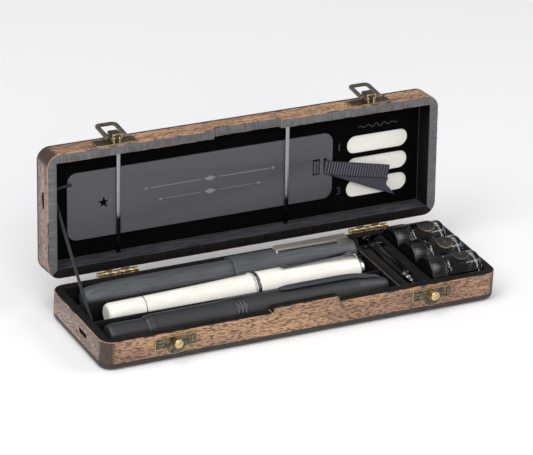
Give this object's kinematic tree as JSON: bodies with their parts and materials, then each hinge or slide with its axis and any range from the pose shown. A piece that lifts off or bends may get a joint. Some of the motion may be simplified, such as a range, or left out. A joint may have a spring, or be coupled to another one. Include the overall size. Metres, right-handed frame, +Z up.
{
  "type": "fountain pen case",
  "caption": "Hinged wooden pen case with divided bays, vial cradle, sample card in the lid, toggle latches and a lace lid stay.",
  "frame": {"origin": "centre of the base's underside", "axes": "+X along the case's length to the right, +Y from the latches to the hinges, +Z up"},
  "size_m": [0.19, 0.0826, 0.0768],
  "materials": {
    "walnut": "oiled brown wood with short dark flecks and stained corners",
    "stained_panel": "dark stained board with a rounded satin edge",
    "black_stained_board": "black stained thin board",
    "black_felt": "short black felt",
    "sample_paper": "uncoated cream paper",
    "cover_satin": "dark anodised satin sheet",
    "ribbon": "ribbed dark woven ribbon",
    "band": "shiny black elastic band",
    "lace": "flat black woven lace",
    "hinge_brass": "bright lacquered brass",
    "screw_brass": "aged brass screws",
    "antique_brass": "antiqued stamped brass with bright edges",
    "charcoal_resin": "brushed charcoal satin resin",
    "clip_steel": "brushed steel",
    "white_resin": "polished white resin",
    "pen_chrome": "polished plated trim",
    "black_lacquer": "matt black lacquer",
    "vial_glass": "clear glass",
    "vial_cap_resin": "black ribbed moulded cap",
    "label_paper": "black printed label with a gold ring",
    "syringe_resin": "smoky moulded resin"
  },
  "bodies": {
    "base": {"base_front_wall": "walnut", "base_rear_wall": "walnut", "base_left_wall": "walnut", "base_right_wall": "walnut", "base_bottom_panel": "stained_panel", "pen_bay_liner": "black_felt", "pen_dividers": "black_stained_board", "bay_divider": "black_stained_board", "tool_block": "black_felt", "vial_cradle": "black_stained_board", "hinge_base_leaves": "hinge_brass", "hinge_pins": "hinge_brass", "hinge_base_screws": "screw_brass", "left_catch_plate": "antique_brass", "right_catch_plate": "antique_brass", "catch_studs": "antique_brass", "catch_screws": "screw_brass"},
    "lid": {"lid_front_wall": "walnut", "lid_rear_wall": "walnut", "lid_left_wall": "walnut", "lid_right_wall": "walnut", "lid_top_panel": "stained_panel", "lid_liner_board": "black_stained_board", "sample_card": "sample_paper", "retaining_bands": "band", "hinge_lid_leaves": "hinge_brass", "hinge_lid_screws": "screw_brass", "left_latch_plate": "antique_brass", "right_latch_plate": "antique_brass", "latch_pins": "antique_brass", "latch_screws": "screw_brass", "stay_lace": "lace"},
    "cover": {"cover_plate": "cover_satin", "cover_ribbon": "ribbon"},
    "left_lever": {"left_latch_lever": "antique_brass"},
    "right_lever": {"right_latch_lever": "antique_brass"},
    "left_bail": {"left_latch_bail": "antique_brass"},
    "right_bail": {"right_latch_bail": "antique_brass"},
    "back_pen": {"back_pen_barrel": "charcoal_resin", "back_pen_cap": "charcoal_resin", "back_pen_clip": "clip_steel"},
    "middle_pen": {"middle_pen_barrel": "white_resin", "middle_pen_cap": "white_resin", "middle_pen_rings": "pen_chrome", "middle_pen_clip": "pen_chrome"},
    "front_pen": {"front_pen_barrel": "black_lacquer", "front_pen_rings": "pen_chrome", "front_pen_clip": "black_lacquer"},
    "front_pen_push": {"front_pen_button": "black_lacquer"},
    "syringe": {"syringe_barrel": "syringe_resin"},
    "plunger": {"syringe_plunger": "syringe_resin"},
    "vial_1": {"vial_1_glass": "vial_glass", "vial_1_label": "label_paper"},
    "vial_1_top": {"vial_1_cap": "vial_cap_resin"},
    "vial_2": {"vial_2_glass": "vial_glass", "vial_2_label": "label_paper"},
    "vial_2_top": {"vial_2_cap": "vial_cap_resin"},
    "vial_3": {"vial_3_glass": "vial_glass", "vial_3_label": "label_paper"},
    "vial_3_top": {"vial_3_cap": "vial_cap_resin"}
  },
  "joints": [
    {"name": "lid_hinge", "type": "hinge", "parent": "base", "child": "lid", "pos_m": [0, 0.03014, 0.01375], "axis": [-1, 0, 0], "range_deg": [-94.9, 0], "deforming": ["stay_lace"]},
    {"name": "left_lever_hinge", "type": "hinge", "parent": "lid", "child": "left_lever", "pos_m": [-0.0618, 0.03759, 0.07428], "axis": [-1, 0, 0], "range_deg": [-88, 0]},
    {"name": "left_bail_swing", "type": "hinge", "parent": "left_lever", "child": "left_bail", "pos_m": [-0.0618, 0.03867, 0.07524], "axis": [1, 0, 0], "range_deg": [0, 180]},
    {"name": "right_lever_hinge", "type": "hinge", "parent": "lid", "child": "right_lever", "pos_m": [0.0616, 0.03759, 0.07428], "axis": [-1, 0, 0], "range_deg": [-88, 0]},
    {"name": "right_bail_swing", "type": "hinge", "parent": "right_lever", "child": "right_bail", "pos_m": [0.0616, 0.03867, 0.07524], "axis": [1, 0, 0], "range_deg": [0, 180]},
    {"name": "cover_slide", "type": "slide", "parent": "lid", "child": "cover", "axis": [1, 0, 0], "range_m": [0, 0.01]},
    {"name": "back_pen_lift", "type": "slide", "parent": "base", "child": "back_pen", "axis": [0, 0, 1], "range_m": [0, 0.03]},
    {"name": "middle_pen_lift", "type": "slide", "parent": "base", "child": "middle_pen", "axis": [0, 0, 1], "range_m": [0, 0.03]},
    {"name": "front_pen_lift", "type": "slide", "parent": "base", "child": "front_pen", "axis": [0, 0, 1], "range_m": [0, 0.03]},
    {"name": "front_pen_push_button", "type": "slide", "parent": "front_pen", "child": "front_pen_push", "axis": [1, 0, 0], "range_m": [0, 0.005], "stiffness_N_per_m": 150, "springref_m": -0.002},
    {"name": "vial_1_lift", "type": "slide", "parent": "base", "child": "vial_1", "axis": [0, 0, 1], "range_m": [0, 0.03]},
    {"name": "vial_2_lift", "type": "slide", "parent": "base", "child": "vial_2", "axis": [0, 0, 1], "range_m": [0, 0.03]},
    {"name": "vial_3_lift", "type": "slide", "parent": "base", "child": "vial_3", "axis": [0, 0, 1], "range_m": [0, 0.03]},
    {"name": "vial_1_cap_turn", "type": "hinge", "parent": "vial_1", "child": "vial_1_top", "pos_m": [0.068, 0.0161, 0.0117], "axis": [1, 0, 0], "range_deg": [0, 360]},
    {"name": "vial_2_cap_turn", "type": "hinge", "parent": "vial_2", "child": "vial_2_top", "pos_m": [0.068, 0, 0.0117], "axis": [1, 0, 0], "range_deg": [0, 360]},
    {"name": "vial_3_cap_turn", "type": "hinge", "parent": "vial_3", "child": "vial_3_top", "pos_m": [0.068, -0.0161, 0.0117], "axis": [1, 0, 0], "range_deg": [0, 360]},
    {"name": "syringe_lift", "type": "slide", "parent": "base", "child": "syringe", "axis": [0, 0, 1], "range_m": [0, 0.03]},
    {"name": "plunger_draw", "type": "slide", "parent": "syringe", "child": "plunger", "axis": [0, 1, 0], "range_m": [-0.005, 0]}
  ]
}
